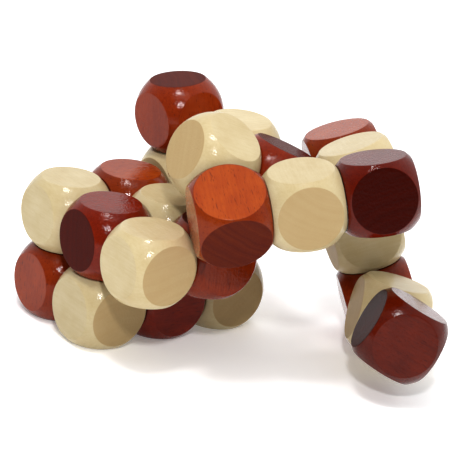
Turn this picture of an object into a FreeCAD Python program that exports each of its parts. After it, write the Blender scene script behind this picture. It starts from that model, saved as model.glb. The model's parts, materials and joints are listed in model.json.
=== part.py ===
import FreeCAD, Part
import math
import os

# Wooden snake puzzle: 27 cubes threaded on one elastic cord.
# Millimetres, +Z up.  The packed block of the snake is square to X and Y.
# The origin is the centre of the footprint of the whole puzzle, on the table.

V = FreeCAD.Vector

# ---- driving dimensions ------------------------------------------------------
PITCH = 20.0             # distance from one cube centre to the next
SIDE = 19.7              # flat to flat size of one cube
BORE = 4.0               # drilled hole for the cord
CORD = 2.0               # stretched elastic cord
BEND = 3.5               # radius of the cord where it turns inside a corner cube
RIM_ROUND = 0.25         # lacquer-softened edge round each flat
MOUTH = 0.4              # chamfer at the mouth of each bore
BLIND = 17.0             # depth of the blind bore in an end cube
PEG_LENGTH = 4.0         # glued end peg
PEG_SEAT = 9.0           # depth of the outer end of the peg below the flat
PEG_FIT = 0.02           # the peg is this much thinner than its bore
KNOT = 3.4               # knot in the end of the cord, behind the peg
COUNT = 27

# Diameter of the ball that rounds off the corners.  Hand tumbling leaves some
# cubes squarer than others.
BALL = {n: 26.0 for n in range(1, COUNT + 1)}
BALL.update({1: 26.4, 2: 26.4, 3: 26.4, 4: 26.6, 5: 26.8, 6: 26.6, 7: 26.6})
BALL.update({8: 26.5, 9: 27.4, 10: 25.6, 17: 25.6, 18: 25.6, 27: 25.2})

# ---- the chain ---------------------------------------------------------------
# Cubes in each straight row, from cube 1 on; neighbouring rows share a corner cube.
ROWS = [3, 3, 3, 3, 2, 2, 2, 3, 3, 2, 2, 3, 2, 3, 2, 2, 3]

# Turn of each cube about the joint that links it to the cube before it, walking
# from cube 27 down to cube 1, in degrees.  Zero keeps the walk in its old
# direction, 180 doubles it back.
TURN = {
    26: 3, 25: 90, 24: 180, 23: 90, 22: 0, 21: 90, 20: 180, 19: 0, 18: -90,
    17: 180, 16: 90, 15: 0, 14: -89, 13: 0, 12: -97.5, 11: 69.5, 10: -28.5, 9: -143,
    8: 63, 7: 80, 6: 79.5, 5: 3, 4: 178.5, 3: 6, 2: -120, 1: -16,
}
START = (0.0, 2.0, 2.0)  # cube 27, counted in pitches from cube 17
TAIL = (26, 27)          # the tail cubes, which lean together on the block
TAIL_TIP = V(7, -6, 0)   # degrees about X and about Y
TAIL_SHIFT = V(-2, 2, 3.5)  # how far the stretched cord lets the leaning tail move
TAIL_GAP = 0.3           # the cord of cube 26 stops this short of the next length
CORD_LEAD = 2.0          # the slanting cord starts this deep inside its bore
CORD_EASE = 2.4          # length of the handles that smooth the slanting cord


def corner_cubes():
    """Numbers of the cubes where one straight row ends and the next begins."""
    found = []
    n = 1
    for row in ROWS[:-1]:
        n += row - 1
        found.append(n)
    return found


CORNERS = corner_cubes()


def spin(vec, axis, degrees):
    """vec turned about a unit axis at right angles to it."""
    a = math.radians(degrees)
    return vec * math.cos(a) + axis.cross(vec) * math.sin(a)


def walk():
    """Centre, entry direction and side direction of every cube."""
    down = V(0, 0, -1)
    centre = V(*START) * PITCH
    entry = down
    side = spin(V(1, 0, 0), V(0, 0, 1), TURN[26])
    places = {COUNT: (centre, entry, side)}
    for n in range(COUNT - 1, 0, -1):
        if n + 1 in CORNERS:
            entry, side = side, entry
        side = spin(side, entry, TURN[n])
        centre = centre + entry * PITCH
        places[n] = (centre, entry, side)
    return lean_tail(places)


def tail_foot(places):
    """Middle of the joint under the tail, on the upper side of the cube below it."""
    centre, entry, side = places[TAIL[0] - 1]
    return centre - entry * (PITCH / 2)


def lean_tail(places):
    """Tilt the tail cubes about the joint below them and shift them clear of the block."""
    foot = tail_foot(places)
    lean = FreeCAD.Rotation(TAIL_TIP, TAIL_TIP.Length)
    for n in TAIL:
        centre, entry, side = places[n]
        centre = foot + lean.multVec(centre - foot) + TAIL_SHIFT
        places[n] = (centre, lean.multVec(entry), lean.multVec(side))
    return places


def placement(centre, entry, side):
    """Local X is the entry direction, local Y the side direction."""
    third = entry.cross(side)
    m = FreeCAD.Matrix(
        entry.x, side.x, third.x, centre.x,
        entry.y, side.y, third.y, centre.y,
        entry.z, side.z, third.z, centre.z,
        0, 0, 0, 1)
    return FreeCAD.Placement(m)


def open_faces(n):
    """Local directions of the faces of cube n that the cord passes through."""
    back = V(-1, 0, 0)
    if n == COUNT:
        return [V(1, 0, 0)]
    if n == 1:
        return [back]
    if n in CORNERS:
        return [back, V(0, 1, 0)]
    return [back, V(1, 0, 0)]


def drilled_hole(face, depth):
    """A bore from a face inward, with a small chamfer at its mouth."""
    start = face * (SIDE / 2)
    hole = Part.makeCylinder(BORE / 2, depth, start, face * -1)
    mouth = Part.makeCone(BORE / 2 + MOUTH, BORE / 2, MOUTH, start, face * -1)
    return hole.fuse(mouth)


def cube_blank(n):
    """A cube with its corners turned away by a ball and its rims softened."""
    half = SIDE / 2
    box = Part.makeBox(SIDE, SIDE, SIDE, V(-half, -half, -half))
    ball = Part.makeSphere(BALL[n] / 2)
    ball.rotate(V(0, 0, 0), V(0, 0, 1), 45)
    blank = box.common(ball)
    rims = [e for e in blank.Edges if is_rim(e)]
    return blank.makeFillet(RIM_ROUND, rims)


def is_rim(edge):
    """True for the round edges of the flats; false for the seam of the ball."""
    if edge.Degenerated or not isinstance(edge.Curve, Part.Circle):
        return False
    return abs(edge.Curve.Center.Length - SIDE / 2) < 0.01


def cube(n):
    """One wooden cube with its bores."""
    wood = cube_blank(n)
    for face in open_faces(n):
        if n in (1, COUNT):
            depth = BLIND
        elif n in CORNERS:
            depth = SIDE / 2 + BORE / 2
        else:
            depth = SIDE
        wood = wood.cut(drilled_hole(face, depth))
    return wood


def rod(wire, at, along):
    """The cord swept along a wire."""
    ring = Part.Wire([Part.Circle(at, along, CORD / 2).toShape()])
    return wire.makePipeShell([ring], True, False)


def bent_cord():
    """Cord of a corner cube: in along X, out along Y, round a tight bend."""
    half = PITCH / 2
    a = V(-half, 0, 0)
    b = V(-BEND, 0, 0)
    mid = V(-BEND + BEND * math.sin(math.pi / 4), BEND - BEND * math.cos(math.pi / 4), 0)
    c = V(0, BEND, 0)
    d = V(0, half, 0)
    arc = Part.Arc(b, mid, c).toShape()
    path = Part.Wire([Part.makeLine(a, b), arc, Part.makeLine(c, d)])
    return rod(path, a, V(1, 0, 0))


def end_cord(face):
    """Cord of an end cube: from the joint through the peg, with its round knot."""
    radius = CORD / 2
    knot = KNOT / 2
    centre = SIDE / 2 - PEG_SEAT - PEG_LENGTH - knot
    neck = centre + math.sqrt(knot ** 2 - radius ** 2)
    out = V(0, radius, 0)
    foot = face * (centre - knot)
    mouth = face * (PITCH / 2)
    base = face * neck + out
    side = face * centre + V(0, knot, 0)
    profile = Part.Wire([
        Part.makeLine(foot, mouth),
        Part.makeLine(mouth, mouth + out),
        Part.makeLine(mouth + out, base),
        Part.Arc(base, side, foot).toShape(),
    ])
    return Part.Face(profile).revolve(V(0, 0, 0), V(1, 0, 0), 360)


def cord(n):
    """The length of elastic cord that rides in cube n."""
    if n in (1, COUNT):
        return end_cord(open_faces(n)[0])
    if n in CORNERS:
        return bent_cord()
    return Part.makeCylinder(CORD / 2, PITCH, V(-PITCH / 2, 0, 0), V(1, 0, 0))


def slanting_cord(place, foot):
    """Cord of the lower tail cube: through its bore, then easing over to the joint."""
    back = place.inverse()
    end = back.multVec(foot + V(0, 0, TAIL_GAP))
    down = back.Rotation.multVec(V(0, 0, -1))
    top = V(-PITCH / 2, 0, 0)
    lead = V(SIDE / 2 - CORD_LEAD, 0, 0)
    curve = Part.BezierCurve()
    curve.setPoles([lead, lead + V(CORD_EASE, 0, 0), end - down * CORD_EASE, end])
    path = Part.Wire([Part.makeLine(top, lead), curve.toShape()])
    return rod(path, top, V(1, 0, 0))


def peg(n):
    """The drilled dowel that holds the knotted cord end in an end cube."""
    face = open_faces(n)[0]
    top = face * (SIDE / 2 - PEG_SEAT)
    body = Part.makeCylinder((BORE - PEG_FIT) / 2, PEG_LENGTH, top, face * -1)
    hole = Part.makeCylinder(CORD / 2, PEG_LENGTH, top, face * -1)
    return body.cut(hole)


def wood_name(n):
    return "cube_%02d_%s" % (n, "dark" if n % 2 else "light")


def build():
    """Every piece in its place, named by its node."""
    pieces = {}
    places = walk()
    for n, (centre, entry, side) in places.items():
        place = placement(centre, entry, side)
        made = {wood_name(n): cube(n), "cord_%02d" % n: cord(n)}
        if n == TAIL[0]:
            made["cord_%02d" % n] = slanting_cord(place, tail_foot(places))
        if n == 1:
            made["end_peg_head"] = peg(n)
        if n == COUNT:
            made["end_peg_tail"] = peg(n)
        for name, shape in made.items():
            shape.Placement = place
            pieces[name] = shape
    return pieces


def to_origin(pieces):
    """Slide everything so the footprint is centred and the bottom is at zero."""
    box = FreeCAD.BoundBox()
    for shape in pieces.values():
        box.add(shape.optimalBoundingBox(True, False))
    shift = V(-(box.XMin + box.XMax) / 2, -(box.YMin + box.YMax) / 2, -box.ZMin)
    for shape in pieces.values():
        shape.translate(shift)
    return shift


pieces = build()
shift = to_origin(pieces)
os.makedirs("parts", exist_ok=True)
for name in sorted(pieces):
    pieces[name].exportStep("parts/%s.step" % name)
print("cube 17 centre", round(shift.x, 4), round(shift.y, 4), round(shift.z, 4))
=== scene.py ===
"""Looks of the wooden snake puzzle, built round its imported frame.

Every wooden cube is a finely rounded solid that stands where its CAD cube stands.
Lengths are in metres; MM turns millimetres into metres.
"""

import json
import math
import random

import bmesh
import bpy
from mathutils import Matrix, Vector


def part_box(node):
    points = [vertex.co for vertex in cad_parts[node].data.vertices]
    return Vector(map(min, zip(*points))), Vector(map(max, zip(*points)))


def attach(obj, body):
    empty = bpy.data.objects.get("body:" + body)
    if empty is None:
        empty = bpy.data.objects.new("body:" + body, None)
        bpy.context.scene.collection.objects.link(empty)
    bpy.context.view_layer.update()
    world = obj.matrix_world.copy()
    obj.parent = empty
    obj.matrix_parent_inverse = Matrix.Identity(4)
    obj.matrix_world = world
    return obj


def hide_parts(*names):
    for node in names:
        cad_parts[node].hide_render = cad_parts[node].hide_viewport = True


MM = 0.001
COUNT = 27                    # cubes in the chain
RIM = 0.34 * MM               # lacquer-softened edge round each flat
BORE = 2.0 * MM               # radius of the drilled hole
MOUTH = 0.4 * MM              # chamfer at the mouth of the hole
BLIND = 17.0 * MM             # depth of the hole in the two end cubes
HUB = 0.6 * MM                # radius of the small polygon in the middle of a closed flat
SPOKES = 96                   # lines of points out from the middle of a flat; a multiple of eight
FLAT_STEPS = 7                # steps along one spoke: on the flat,
RIM_STEPS = 6                 # round the softened rim,
ROUND_STEPS = 8               # and over the rounded body
WELD = 0.002 * MM             # points nearer than this become one
SIX_STEPS = ((1, 0, 0), (-1, 0, 0), (0, 1, 0), (0, -1, 0), (0, 0, 1), (0, 0, -1))
SEED = 27                     # of the dice that choose each cube's place in the plank

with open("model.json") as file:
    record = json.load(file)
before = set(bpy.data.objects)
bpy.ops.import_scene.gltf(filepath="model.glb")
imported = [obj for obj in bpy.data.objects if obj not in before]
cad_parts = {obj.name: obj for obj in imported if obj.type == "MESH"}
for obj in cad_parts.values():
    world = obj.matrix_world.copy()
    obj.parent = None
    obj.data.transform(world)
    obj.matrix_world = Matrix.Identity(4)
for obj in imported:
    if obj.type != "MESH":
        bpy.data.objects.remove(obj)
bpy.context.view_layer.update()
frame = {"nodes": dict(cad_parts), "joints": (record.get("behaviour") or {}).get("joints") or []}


# ---- where the cubes stand ---------------------------------------------------

def wood_node(n):
    """Name of the CAD node that is cube n."""
    return "cube_%02d_%s" % (n, "dark" if n % 2 else "light")


def joint_points():
    """Where each cube meets the next one, by the number of the first."""
    return {int(j["name"].split("_")[1]): Vector(j["pos_m"]) for j in frame["joints"]}


JOINTS = joint_points()


def flat_axes(mesh):
    """Three unit normals of the cube's flats, found from the largest level areas of its mesh."""
    square = 0.1              # normals whose dot product is below this stand about at right angles
    areas = {}
    for face in mesh.polygons:
        key = tuple(round(abs(c), 2) for c in face.normal)
        total, vector = areas.get(key, (0.0, Vector()))
        sign = 1 if face.normal.dot(vector) >= 0 else -1
        areas[key] = (total + face.area, vector + face.normal * face.area * sign)
    found = []
    for _, vector in sorted(areas.values(), key=lambda pair: -pair[0]):
        axis = vector.normalized()
        if all(abs(axis.dot(other)) < square for other in found):
            found.append(axis)
    return found[:3]


class Cube:
    """Place, size and open faces of one cube, read from its CAD node.

    Its own X points at the joint with the cube before it, or at its one joint.
    """

    def __init__(self, n):
        self.n = n
        self.node = wood_node(n)
        mesh = frame["nodes"][self.node].data
        low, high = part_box(self.node)
        self.centre = (low + high) / 2
        axes = flat_axes(mesh)
        towards = [JOINTS[k] - self.centre for k in (n - 1, n) if k in JOINTS]
        first = max(axes, key=lambda axis: abs(axis.dot(towards[0])))
        rest = [axis for axis in axes if axis is not first]
        x = first * (1 if first.dot(towards[0]) > 0 else -1)
        y = rest[0] - x * rest[0].dot(x)
        y.normalize()
        z = x.cross(y)
        self.turn = Matrix((x, y, z)).transposed()
        self.half = max((v.co - self.centre).dot(x) for v in mesh.vertices)
        self.ball = max((v.co - self.centre).length for v in mesh.vertices)
        back = self.turn.inverted()
        self.open = [as_step(back @ t) for t in towards]

    def matrix(self):
        """From the cube's own axes to the frame."""
        return Matrix.Translation(self.centre) @ self.turn.to_4x4()


def as_step(vector):
    """The nearest of the six unit steps along X, Y or Z."""
    steps = [Vector(s) for s in ((1, 0, 0), (0, 1, 0), (0, 0, 1))]
    best = max(steps, key=lambda s: abs(s.dot(vector)))
    return best * (1 if best.dot(vector) > 0 else -1)


# ---- the shape of a cube -----------------------------------------------------

def rim_profile(half, ball):
    """(radius, height) points from the level flat, round the softened rim, to the ball."""
    inner = math.sqrt((ball - RIM) ** 2 - (half - RIM) ** 2)
    stop = math.atan2(half - RIM, inner)
    points = []
    for i in range(RIM_STEPS + 1):
        a = math.pi / 2 + (stop - math.pi / 2) * i / RIM_STEPS
        points.append((inner + RIM * math.cos(a), half - RIM + RIM * math.sin(a)))
    return points


def spoke_points(cube, face, across, up, angle):
    """Points of one spoke of a face, from its middle or bore out to the next face."""
    out = across * math.cos(angle) + up * math.sin(angle)
    rim = rim_profile(cube.half, cube.ball)
    points = []
    if face in cube.open:
        points.append(bore_end(cube, face, out))
        points.append(face * (cube.half - MOUTH) + out * BORE)
        start = BORE + MOUTH
    else:
        start = HUB
    for i in range(FLAT_STEPS):
        r = start + (rim[0][0] - start) * i / FLAT_STEPS
        points.append(face * cube.half + out * r)
    points += [face * z + out * r for r, z in rim]
    begin = math.atan2(*rim[-1])
    end = math.atan(1 / max(abs(math.cos(angle)), abs(math.sin(angle))))
    for i in range(1, ROUND_STEPS + 1):
        a = begin + (end - begin) * i / ROUND_STEPS
        points.append((face * math.cos(a) + out * math.sin(a)) * cube.ball)
    return points


def bore_end(cube, face, out):
    """The inner end of the bore wall: where it meets the other bore, or at the blind bottom."""
    others = [step for step in cube.open if step != face]
    if others:
        depth = out.dot(others[0]) * BORE
    else:
        depth = cube.half - BLIND
    return face * depth + out * BORE


def cube_mesh(cube):
    """A closed mesh in the cube's own axes, with flats, rims, rounded corners and bores."""
    shape = bmesh.new()
    for step in SIX_STEPS:
        face = Vector(step)
        across = Vector((step[1], step[2], step[0]))
        up = face.cross(across)
        spokes = []
        for k in range(SPOKES):
            angle = 2 * math.pi * k / SPOKES
            line = spoke_points(cube, face, across, up, angle)
            spokes.append([shape.verts.new(p) for p in line])
        for k, here in enumerate(spokes):
            there = spokes[(k + 1) % SPOKES]
            for i in range(len(here) - 1):
                shape.faces.new((here[i], here[i + 1], there[i + 1], there[i]))
        blind = len(cube.open) == 1 and face == cube.open[0]
        if face not in cube.open or blind:
            shape.faces.new([line[0] for line in reversed(spokes)])
    bmesh.ops.remove_doubles(shape, verts=shape.verts, dist=WELD)
    bmesh.ops.recalc_face_normals(shape, faces=shape.faces)
    mesh = bpy.data.meshes.new("cube_mesh_%02d" % cube.n)
    shape.to_mesh(mesh)
    shape.free()
    for polygon in mesh.polygons:
        polygon.use_smooth = True
    return mesh


# ---- the view ----------------------------------------------------------------

VIEW_AZIMUTH = math.radians(51.56)     # round from -Y towards +X
VIEW_HEIGHT = math.radians(20.69)
VIEW_ROLL = math.radians(7.37)
VIEW_DISTANCE = 833.0 * MM
VIEW_LENS = 234.8                      # on a 36 mm wide picture
VIEW_TARGET = Vector((-15.04, -1.0, 28.5)) * MM


def direction(azimuth, height):
    """Unit vector towards a point round the object; azimuth 0 is -Y and 90 is +X."""
    return Vector((
        math.sin(azimuth) * math.cos(height),
        -math.cos(azimuth) * math.cos(height),
        math.sin(height),
    ))


# ---- materials ---------------------------------------------------------------

class Nodes:
    """Short ways to add shader nodes and join them."""

    def __init__(self, owner, shader="Principled BSDF"):
        """owner is a material or a world; shader is the name of its surface node."""
        owner.use_nodes = True
        self.tree = owner.node_tree
        self.shader = self.tree.nodes[shader]

    def give(self, socket, value):
        """Link a socket to another, or set it to a plain value."""
        if isinstance(value, bpy.types.NodeSocket):
            self.tree.links.new(value, socket)
        else:
            socket.default_value = value

    def add(self, kind, inputs=None, **settings):
        node = self.tree.nodes.new(kind)
        for key, value in settings.items():
            setattr(node, key, value)
        for key, value in (inputs or {}).items():
            self.give(node.inputs[key], value)
        return node

    def vector_math(self, operation, inputs, output="Vector"):
        return self.add("ShaderNodeVectorMath", inputs, operation=operation).outputs[output]

    def math(self, operation, a, b=0.0):
        return self.add("ShaderNodeMath", {0: a, 1: b}, operation=operation).outputs[0]

    def mix(self, factor, a, b, blend="MIX"):
        node = self.add("ShaderNodeMix", data_type="RGBA", blend_type=blend)
        for key, value in ((0, factor), (6, a), (7, b)):
            self.give(node.inputs[key], value)
        return node.outputs[2]

    def remap(self, value, low, high, to_low=0.0, to_high=1.0):
        inputs = {
            "Value": value, "From Min": low, "From Max": high,
            "To Min": to_low, "To Max": to_high,
        }
        return self.add("ShaderNodeMapRange", inputs).outputs[0]

    def noise(self, vector, scale, detail=2.0, rough=0.5):
        inputs = {"Vector": vector, "Scale": scale, "Detail": detail, "Roughness": rough}
        return self.add("ShaderNodeTexNoise", inputs).outputs[0]

    def stretch(self, vector, scale):
        """The same place with its axes scaled: a scale below 1 draws noise out along that axis."""
        return self.add("ShaderNodeMapping", {"Vector": vector, "Scale": scale}).outputs[0]

    def set(self, name, value):
        """Set or link an input of the surface node."""
        self.give(self.shader.inputs[name], value)


def rgb(r, g, b):
    return (r, g, b, 1.0)


WHITE = rgb(1.0, 1.0, 1.0)
GRAIN_TURNS = {               # turns that lay the grain along the cube's X, Y or Z
    "x": (0.0, 0.0, 0.0),
    "y": (0.0, 0.0, math.pi / 2),
    "z": (0.0, math.pi / 2, 0.0),
}
# how fine the noises of the wood are, in cells per metre
BAND_CELLS = 620.0            # growth bands, counted outward from the pith
BEND_CELLS = 70.0             # slow bending of the bands
PATCH_CELLS = 130.0           # darker and paler patches
FIBRE_CELLS = 1700.0
PORE_CELLS = 3300.0
WAVE_CELLS = 1400.0           # waves in the clear coat
BAND_BEND = 4.0 * MM          # how far the slow noise shifts a band
FIBRE_STRETCH = (0.07, 1.0, 1.0)
PORE_STRETCH = (0.16, 1.0, 1.0)
PORE_RANGE = (0.62, 0.74)     # noise values between which a pore fades in
TONE_SPREAD = 0.22            # how far from the middle the tone reaches its two ends
FLAT_RANGE = (0.97, 0.995)    # largest part of a unit normal: rounded body to level flat
END_RANGE = (0.80, 0.985)     # part of the normal along the grain: side to end grain
ARC_RANGE = (0.35, 0.65)      # band values over which the arcs of the end grain fade
ARC_PALE = 0.92               # share of end grain colour left in a pale arc
# the clear lacquer
COAT_IOR = 1.29
COAT_ON_ENDS = 0.28           # end grain soaks it up, so less of it lies on top
WAVE_DEPTH = 0.25 * MM
FIBRE_RELIEF = 0.35           # share of the fibres in the relief of the coat


def wood_tone(n, turned, look):
    """Growth bands, fibres and patches: the bands, the fibres and the tone from 0 to 1."""
    # uneven rings round a pith outside the cube, bent by slow noise
    outward = n.vector_math("MULTIPLY", {0: turned, 1: (0.0, 1.0, 1.0)})
    radius = n.vector_math("LENGTH", {0: outward}, "Value")
    bend = n.math("MULTIPLY", n.noise(turned, BEND_CELLS), BAND_BEND)
    inputs = {
        "W": n.math("ADD", radius, bend), "Scale": BAND_CELLS,
        "Detail": 2.0, "Roughness": 0.6,
    }
    bands = n.add("ShaderNodeTexNoise", inputs, noise_dimensions="1D").outputs[0]
    fibre = n.noise(n.stretch(turned, FIBRE_STRETCH), FIBRE_CELLS, 3.0, 0.6)
    patch = n.noise(turned, PATCH_CELLS, 3.0, 0.55)
    tone = n.math("MULTIPLY", bands, look["bands"])
    tone = n.math("ADD", tone, n.math("MULTIPLY", fibre, look["fibres"]))
    tone = n.math("ADD", tone, n.math("MULTIPLY", patch, look["patches"]))
    middle = 0.5 * (look["bands"] + look["fibres"] + look["patches"])
    tone = n.remap(tone, middle - TONE_SPREAD, middle + TONE_SPREAD)
    return bands, fibre, tone


def on_body(n, normal):
    """1 on the rounded body of a cube and 0 on its flats."""
    sides = n.add("ShaderNodeSeparateXYZ", {0: n.vector_math("ABSOLUTE", {0: normal})}).outputs
    largest = n.math("MAXIMUM", n.math("MAXIMUM", sides[0], sides[1]), sides[2])
    return n.math("SUBTRACT", 1.0, n.remap(largest, *FLAT_RANGE))


def on_ends(n, normal, grain):
    """1 where the surface cuts across the grain and 0 along it."""
    turn = {"Vector": normal, "Rotation": GRAIN_TURNS[grain]}
    turned = n.add("ShaderNodeMapping", turn).outputs[0]
    along = n.add("ShaderNodeSeparateXYZ", {0: turned}).outputs[0]
    return n.remap(n.math("ABSOLUTE", along), *END_RANGE)


def wood(name, colours, grain, shift, look, stain):
    """Lacquered wood: growth bands, fibres, pores, end grain and a wavy clear coat.

    colours are the early wood, the late wood and the end grain; stain tints the rounded body.
    """
    material = bpy.data.materials.new(name)
    n = Nodes(material)
    place = n.add("ShaderNodeTexCoord")
    plank = {"Vector": place.outputs["Object"], "Rotation": GRAIN_TURNS[grain], "Location": shift}
    turned = n.add("ShaderNodeMapping", plank).outputs[0]
    bands, fibre, tone = wood_tone(n, turned, look)
    colour = n.mix(tone, colours[0], colours[1])
    pores = n.noise(n.stretch(turned, PORE_STRETCH), PORE_CELLS, 1.0)
    pores = n.remap(pores, *PORE_RANGE)
    colour = n.mix(n.math("MULTIPLY", pores, look["pores"]), colour, colours[2])
    # the rounded body keeps more of the stain than the sanded flats
    body = n.math("MULTIPLY", on_body(n, place.outputs["Normal"]), look["body"])
    colour = n.mix(body, colour, n.mix(1.0, colour, stain, "MULTIPLY"))
    # end grain drinks more stain and shows the arcs of the growth bands
    end = on_ends(n, place.outputs["Normal"], grain)
    arcs = n.remap(bands, *ARC_RANGE, ARC_PALE, 1.0)
    soaked = n.math("MULTIPLY", n.math("MULTIPLY", end, arcs), look["end"])
    n.set("Base Color", n.mix(soaked, colour, colours[2]))
    n.set("Roughness", 0.5)
    n.set("Specular IOR Level", 0.0)
    n.set("Coat Weight", n.remap(end, 0.0, 1.0, 1.0, COAT_ON_ENDS))
    n.set("Coat Roughness", look["gloss"])
    n.set("Coat IOR", COAT_IOR)
    # the clear coat sinks into the fibres and lies in shallow waves
    waves = n.noise(turned, WAVE_CELLS)
    height = n.math("ADD", n.math("MULTIPLY", fibre, FIBRE_RELIEF), waves)
    relief = {"Height": height, "Strength": look["waves"], "Distance": WAVE_DEPTH}
    bump = n.add("ShaderNodeBump", relief)
    n.set("Coat Normal", bump.outputs[0])
    n.set("Normal", bump.outputs[0])
    return material


# early wood, late wood and end grain of the three stains
LIGHT = (rgb(0.61, 0.52, 0.325), rgb(0.50, 0.39, 0.205), rgb(0.42, 0.29, 0.14))
DARK = (rgb(0.235, 0.016, 0.0025), rgb(0.125, 0.007, 0.0015), rgb(0.055, 0.0045, 0.002))
ORANGE = (rgb(0.40, 0.075, 0.008), rgb(0.28, 0.038, 0.005), rgb(0.070, 0.009, 0.005))
BODY_STAIN = rgb(0.32, 0.12, 0.12)
# share of the orange stain in each dark cube
WARMTH = {
    1: 0.1, 3: 0.4, 5: 0.8, 7: 0.0, 9: 1.0, 15: 0.0,
    17: 0.45, 19: 0.05, 21: 0.35, 23: 0.8, 27: 0.4,
}
USUAL_WARMTH = 0.2
# brightness of the cubes that are paler or deeper than the rest
DEPTH = {
    1: 0.54, 7: 0.58, 13: 0.9, 14: 0.85, 15: 0.9,
    16: 0.92, 18: 0.95, 19: 0.9, 21: 0.85, 27: 1.1,
}
BRIGHT_SPREAD = 0.05          # cubes differ by chance this much in brightness
# place of a cube in its plank, from the pith: along the grain, outward and sideways
PLANK_ALONG = (-200.0 * MM, 200.0 * MM)
PLANK_OUT = (20.0 * MM, 50.0 * MM)
PLANK_ASIDE = (-30.0 * MM, 30.0 * MM)
# cubes whose grain runs in a known direction, so that their end grain faces that way
TO_VIEWER = direction(VIEW_AZIMUTH, 0.0)
TO_RIGHT = Vector((1.0, 0.0, 0.0))
TO_LEFT = direction(VIEW_AZIMUTH - math.radians(75.0), math.radians(17.0))
GRAIN_TOWARD = {1: TO_LEFT, 7: TO_VIEWER, 8: TO_VIEWER, 9: TO_VIEWER, 16: TO_RIGHT, 20: TO_RIGHT}
# how strong each feature of the wood is: shares of the tone, mixes, coat roughness and relief
DARK_LOOK = {
    "bands": 0.12, "fibres": 0.45, "patches": 0.55, "pores": 0.65, "end": 0.92,
    "body": 0.6, "gloss": 0.08, "waves": 0.32,
}
LIGHT_LOOK = {
    "bands": 0.07, "fibres": 0.30, "patches": 0.55, "pores": 0.16, "end": 0.8,
    "body": 0.0, "gloss": 0.11, "waves": 0.26,
}


def between(a, b, share):
    """The colour that lies this share of the way from a to b."""
    return tuple(p + (q - p) * share for p, q in zip(a, b))


def grain_axis(cube, toward, otherwise):
    """The cube's own axis that points most nearly along a direction."""
    if toward is None:
        return otherwise
    along = cube.turn.inverted() @ toward
    return "xyz"[max(range(3), key=lambda i: abs(along[i]))]


def cube_material(cube, dice):
    """This cube's own piece of wood: its stain, grain direction and place in the plank."""
    shift = (dice.uniform(*PLANK_ALONG), dice.uniform(*PLANK_OUT), dice.uniform(*PLANK_ASIDE))
    grain = grain_axis(cube, GRAIN_TOWARD.get(cube.n), dice.choice("xyz"))
    bright = dice.uniform(1.0 - BRIGHT_SPREAD, 1.0 + BRIGHT_SPREAD) * DEPTH.get(cube.n, 1.0)
    if cube.n % 2:
        warmth = WARMTH.get(cube.n, USUAL_WARMTH)
        tones = [between(d, o, warmth) for d, o in zip(DARK, ORANGE)]
        look = DARK_LOOK
        stain = between(WHITE, BODY_STAIN, warmth)
    else:
        tones = LIGHT
        look = LIGHT_LOOK
        stain = WHITE
    tones = [rgb(*(min(1.0, c * bright) for c in tone[:3])) for tone in tones]
    return wood("%s_wood" % cube.node, tones, grain, shift, look, stain)


BRAID_CELLS = 900.0           # ribs of the sleeve, per metre
BRAID_DEPTH = 0.1 * MM
DOWEL_CELLS = 1500.0          # fibres of the bare dowel, per metre


def cord_material():
    """White elastic: a rubber core in a braided sleeve."""
    material = bpy.data.materials.new("elastic_sleeve")
    n = Nodes(material)
    place = n.add("ShaderNodeTexCoord").outputs["Object"]
    braid = {"Vector": place, "Scale": BRAID_CELLS, "Distortion": 1.5}
    ribs = n.add("ShaderNodeTexWave", braid).outputs[1]
    # the grooves between the ribs are darker than the ribs: painted shade in the braid
    n.set("Base Color", n.mix(ribs, rgb(0.50, 0.48, 0.44), rgb(0.82, 0.80, 0.74)))
    n.set("Roughness", 0.85)
    bump = n.add("ShaderNodeBump", {"Height": ribs, "Strength": 0.6, "Distance": BRAID_DEPTH})
    n.set("Normal", bump.outputs[0])
    return material


def peg_material():
    """Bare birch dowel."""
    material = bpy.data.materials.new("birch_dowel")
    n = Nodes(material)
    place = n.add("ShaderNodeTexCoord").outputs["Object"]
    fibre = n.noise(place, DOWEL_CELLS, 3.0, 0.6)
    n.set("Base Color", n.mix(fibre, rgb(0.62, 0.45, 0.26), rgb(0.48, 0.32, 0.17)))
    n.set("Roughness", 0.7)
    return material


# ---- the object --------------------------------------------------------------

def make_cube(n, dice):
    """One finely rounded cube in the place of its CAD cube."""
    cube = Cube(n)
    piece = bpy.data.objects.new("wood_cube_%02d" % n, cube_mesh(cube))
    bpy.context.scene.collection.objects.link(piece)
    piece.matrix_world = cube.matrix()
    piece.data.materials.append(cube_material(cube, dice))
    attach(piece, "cube_%02d" % n)
    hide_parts(cube.node)


def dress(node, material):
    """Give a CAD node that stays in the picture its own material."""
    data = frame["nodes"][node].data
    data.materials.clear()
    data.materials.append(material)


# ---- studio ------------------------------------------------------------------

FLOOR_SIZE = 12.0
FLOOR_DROP = 0.02 * MM        # the floor lies this much under the cubes
DIM_SIDE = direction(VIEW_AZIMUTH - math.radians(15.0), 0.0)   # the unlit side of the room
ROOM_BRIGHT = 1.1             # strength of the room behind the object
ROOM_DIM = 0.07               # and on the dim side
ROOM_FADE = (-0.5, 0.6)       # cosines with the dim side between which it fades
ROOM_ABOVE = 0.3              # added towards the ceiling
ROOM_COLOUR = rgb(0.975, 0.985, 1.0)
PICTURE_GAMMA = 0.87


def make_camera():
    """A camera that looks at the target from the viewing angle, rolled a little."""
    data = bpy.data.cameras.new("camera")
    data.lens = VIEW_LENS
    data.clip_start = 0.05
    data.clip_end = 20.0
    camera = bpy.data.objects.new("camera", data)
    bpy.context.scene.collection.objects.link(camera)
    back = direction(VIEW_AZIMUTH, VIEW_HEIGHT)
    camera.location = VIEW_TARGET + back * VIEW_DISTANCE
    level = (-back).to_track_quat("-Z", "Y").to_matrix().to_4x4()
    camera.rotation_euler = (level @ Matrix.Rotation(VIEW_ROLL, 4, "Z")).to_euler()
    bpy.context.scene.camera = camera


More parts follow.
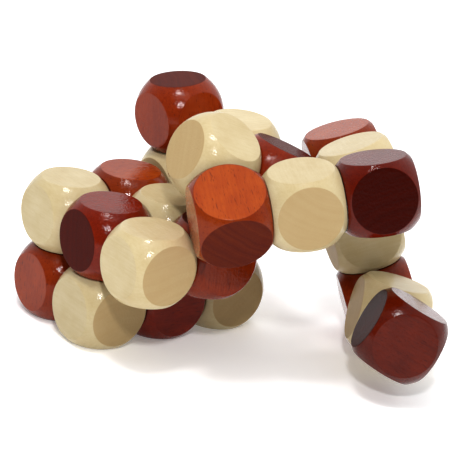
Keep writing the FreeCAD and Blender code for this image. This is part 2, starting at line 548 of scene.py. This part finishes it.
def area_light(name, azimuth, height, distance, size, power):
    """A white lamp aimed at the target: degrees, metres and watts."""
    data = bpy.data.lights.new(name, "AREA")
    data.shape = "RECTANGLE"
    data.size, data.size_y = size
    data.energy = power
    lamp = bpy.data.objects.new(name, data)
    bpy.context.scene.collection.objects.link(lamp)
    toward = direction(math.radians(azimuth), math.radians(height))
    lamp.location = VIEW_TARGET + toward * distance
    lamp.rotation_euler = toward.to_track_quat("Z", "Y").to_euler()


def make_world():
    """White room, bright behind the object and dim on its other side."""
    world = bpy.data.worlds.new("studio")
    bpy.context.scene.world = world
    n = Nodes(world, "Background")
    place = n.add("ShaderNodeTexCoord").outputs["Generated"]
    facing = n.vector_math("DOT_PRODUCT", {0: place, 1: DIM_SIDE}, "Value")
    around = n.remap(facing, *ROOM_FADE, ROOM_BRIGHT, ROOM_DIM)
    high = n.add("ShaderNodeSeparateXYZ", {0: place}).outputs["Z"]
    above = n.math("MULTIPLY", n.math("MAXIMUM", high), ROOM_ABOVE)
    n.set("Strength", n.math("ADD", around, above))
    n.set("Color", ROOM_COLOUR)


def make_floor():
    """A wide sheet of white paper that glows a little: painted light that brightens the floor and
    lightens the shadows on it.
    """
    bpy.ops.mesh.primitive_plane_add(size=FLOOR_SIZE, location=(0, 0, -FLOOR_DROP))
    floor = bpy.context.object
    floor.name = "floor"
    material = bpy.data.materials.new("white_paper")
    n = Nodes(material)
    n.set("Base Color", rgb(0.97, 0.968, 0.966))
    n.set("Roughness", 0.6)
    n.set("Specular IOR Level", 0.2)
    # painted light: the glow lightens the floor's shadows and lights the cubes from below like a
    # lamp
    n.set("Emission Color", WHITE)
    n.set("Emission Strength", 0.2)
    floor.data.materials.append(material)


def make_lights():
    """A small hard lamp above the camera and two softer ones overhead."""
    area_light("key", azimuth=52.0, height=39.0, distance=1.3, size=(0.09, 0.09), power=7.0)
    area_light("overhead", azimuth=30.0, height=70.0, distance=0.8, size=(0.15, 0.10), power=2.1)
    area_light("ceiling", azimuth=50.0, height=66.0, distance=0.9, size=(0.55, 0.30), power=1.1)


def main():
    dice = random.Random(SEED)
    make_camera()
    make_world()
    make_floor()
    make_lights()
    for n in range(1, COUNT + 1):
        make_cube(n, dice)
    sleeve = cord_material()
    for n in range(1, COUNT + 1):
        dress("cord_%02d" % n, sleeve)
    birch = peg_material()
    for node in ("end_peg_head", "end_peg_tail"):
        dress(node, birch)
    bpy.context.scene.view_settings.view_transform = "Standard"
    bpy.context.scene.view_settings.gamma = PICTURE_GAMMA


main()
